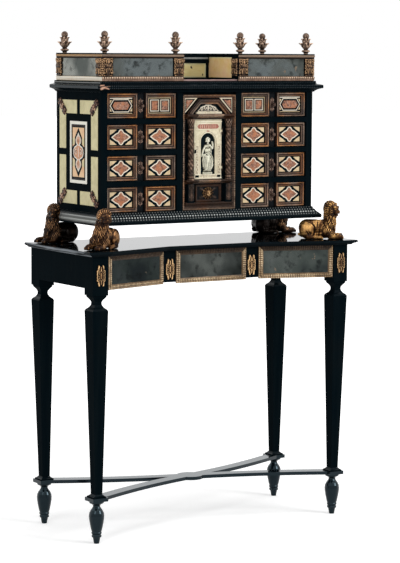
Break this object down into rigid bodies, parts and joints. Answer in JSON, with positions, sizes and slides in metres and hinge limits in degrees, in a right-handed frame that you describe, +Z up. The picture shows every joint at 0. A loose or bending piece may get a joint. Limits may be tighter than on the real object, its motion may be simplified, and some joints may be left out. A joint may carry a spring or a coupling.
{
  "type": "coin cabinet on stand",
  "caption": "Ebonised and gilt table cabinet with drawers round a portal door, carried by lions on a stand with tapered legs and a crossed stretcher.",
  "frame": {"origin": "on the floor under the middle of the object's box", "axes": "+X to the right seen from the front, +Z up, the front faces -Y"},
  "size_m": [0.98, 0.4204, 1.5498],
  "materials": {
    "ebonised_wood": "ebonised, polished",
    "carved_gilt": "carved and gilded wood, worn, brown in the recesses",
    "ripple_moulding": "brown gilt ripple moulding",
    "antique_mirror": "grey foxed mirror plate",
    "bone_inlay": "bone, smooth and slightly green",
    "inlaid_front": "moulded frames with bone, pink and black inlay",
    "pull_metal": "dark worn brass",
    "back_wood": "plain stained boards",
    "pale_wood": "pale golden wood"
  },
  "bodies": {
    "cabinet": {"stand_top": "ebonised_wood", "frieze_front": "ebonised_wood", "frieze_left": "ebonised_wood", "frieze_right": "ebonised_wood", "frieze_back": "ebonised_wood", "leg_front_left": "ebonised_wood", "leg_front_right": "ebonised_wood", "leg_rear_left": "ebonised_wood", "leg_rear_right": "ebonised_wood", "feet": "ebonised_wood", "stretcher": "ebonised_wood", "cabinet_base": "ebonised_wood", "side_left": "ebonised_wood", "side_right": "ebonised_wood", "cornice": "ebonised_wood", "partitions": "ebonised_wood", "dust_boards": "ebonised_wood", "portal": "ebonised_wood", "gallery_left": "ebonised_wood", "gallery_right": "ebonised_wood", "gallery_back": "ebonised_wood", "frieze_mounts": "carved_gilt", "lion_front_left": "carved_gilt", "lion_front_right": "carved_gilt", "lion_rear_left": "carved_gilt", "lion_rear_right": "carved_gilt", "corner_mounts": "carved_gilt", "columns": "carved_gilt", "gallery_terms": "carved_gilt", "finials": "carved_gilt", "frieze_frames": "ripple_moulding", "frieze_mirrors": "antique_mirror", "gallery_mirrors": "antique_mirror", "inlay_left": "bone_inlay", "inlay_right": "bone_inlay", "door_hinges": "pull_metal", "cabinet_back": "back_wood", "gallery_panels": "pale_wood"},
    "drawer_l1": {"drawer_l1": "inlaid_front", "pull_l1": "pull_metal"},
    "drawer_l2": {"drawer_l2": "inlaid_front", "pull_l2": "pull_metal"},
    "drawer_l3": {"drawer_l3": "inlaid_front", "pull_l3": "pull_metal"},
    "drawer_l4": {"drawer_l4": "inlaid_front", "pull_l4": "pull_metal"},
    "drawer_r1": {"drawer_r1": "inlaid_front", "pull_r1": "pull_metal"},
    "drawer_r2": {"drawer_r2": "inlaid_front", "pull_r2": "pull_metal"},
    "drawer_r3": {"drawer_r3": "inlaid_front", "pull_r3": "pull_metal"},
    "drawer_r4": {"drawer_r4": "inlaid_front", "pull_r4": "pull_metal"},
    "door": {"door": "inlaid_front", "door_figure": "bone_inlay"},
    "plinth_drawer": {"plinth_drawer": "ebonised_wood", "mask": "carved_gilt"}
  },
  "joints": [
    {"name": "drawer_l1_slide", "type": "slide", "parent": "cabinet", "child": "drawer_l1", "axis": [0, -1, 0], "range_m": [0, 0.2]},
    {"name": "drawer_l2_slide", "type": "slide", "parent": "cabinet", "child": "drawer_l2", "axis": [0, -1, 0], "range_m": [0, 0.2]},
    {"name": "drawer_l3_slide", "type": "slide", "parent": "cabinet", "child": "drawer_l3", "axis": [0, -1, 0], "range_m": [0, 0.2]},
    {"name": "drawer_l4_slide", "type": "slide", "parent": "cabinet", "child": "drawer_l4", "axis": [0, -1, 0], "range_m": [0, 0.2]},
    {"name": "drawer_r1_slide", "type": "slide", "parent": "cabinet", "child": "drawer_r1", "axis": [0, -1, 0], "range_m": [0, 0.2]},
    {"name": "drawer_r2_slide", "type": "slide", "parent": "cabinet", "child": "drawer_r2", "axis": [0, -1, 0], "range_m": [0, 0.2]},
    {"name": "drawer_r3_slide", "type": "slide", "parent": "cabinet", "child": "drawer_r3", "axis": [0, -1, 0], "range_m": [0, 0.2]},
    {"name": "drawer_r4_slide", "type": "slide", "parent": "cabinet", "child": "drawer_r4", "axis": [0, -1, 0], "range_m": [0, 0.2]},
    {"name": "plinth_drawer_slide", "type": "slide", "parent": "cabinet", "child": "plinth_drawer", "axis": [0, -1, 0], "range_m": [0, 0.15]},
    {"name": "door_hinge", "type": "hinge", "parent": "cabinet", "child": "door", "pos_m": [0.0506, -0.08705, 1.186], "axis": [0, 0, 1], "range_deg": [0, 90]}
  ]
}
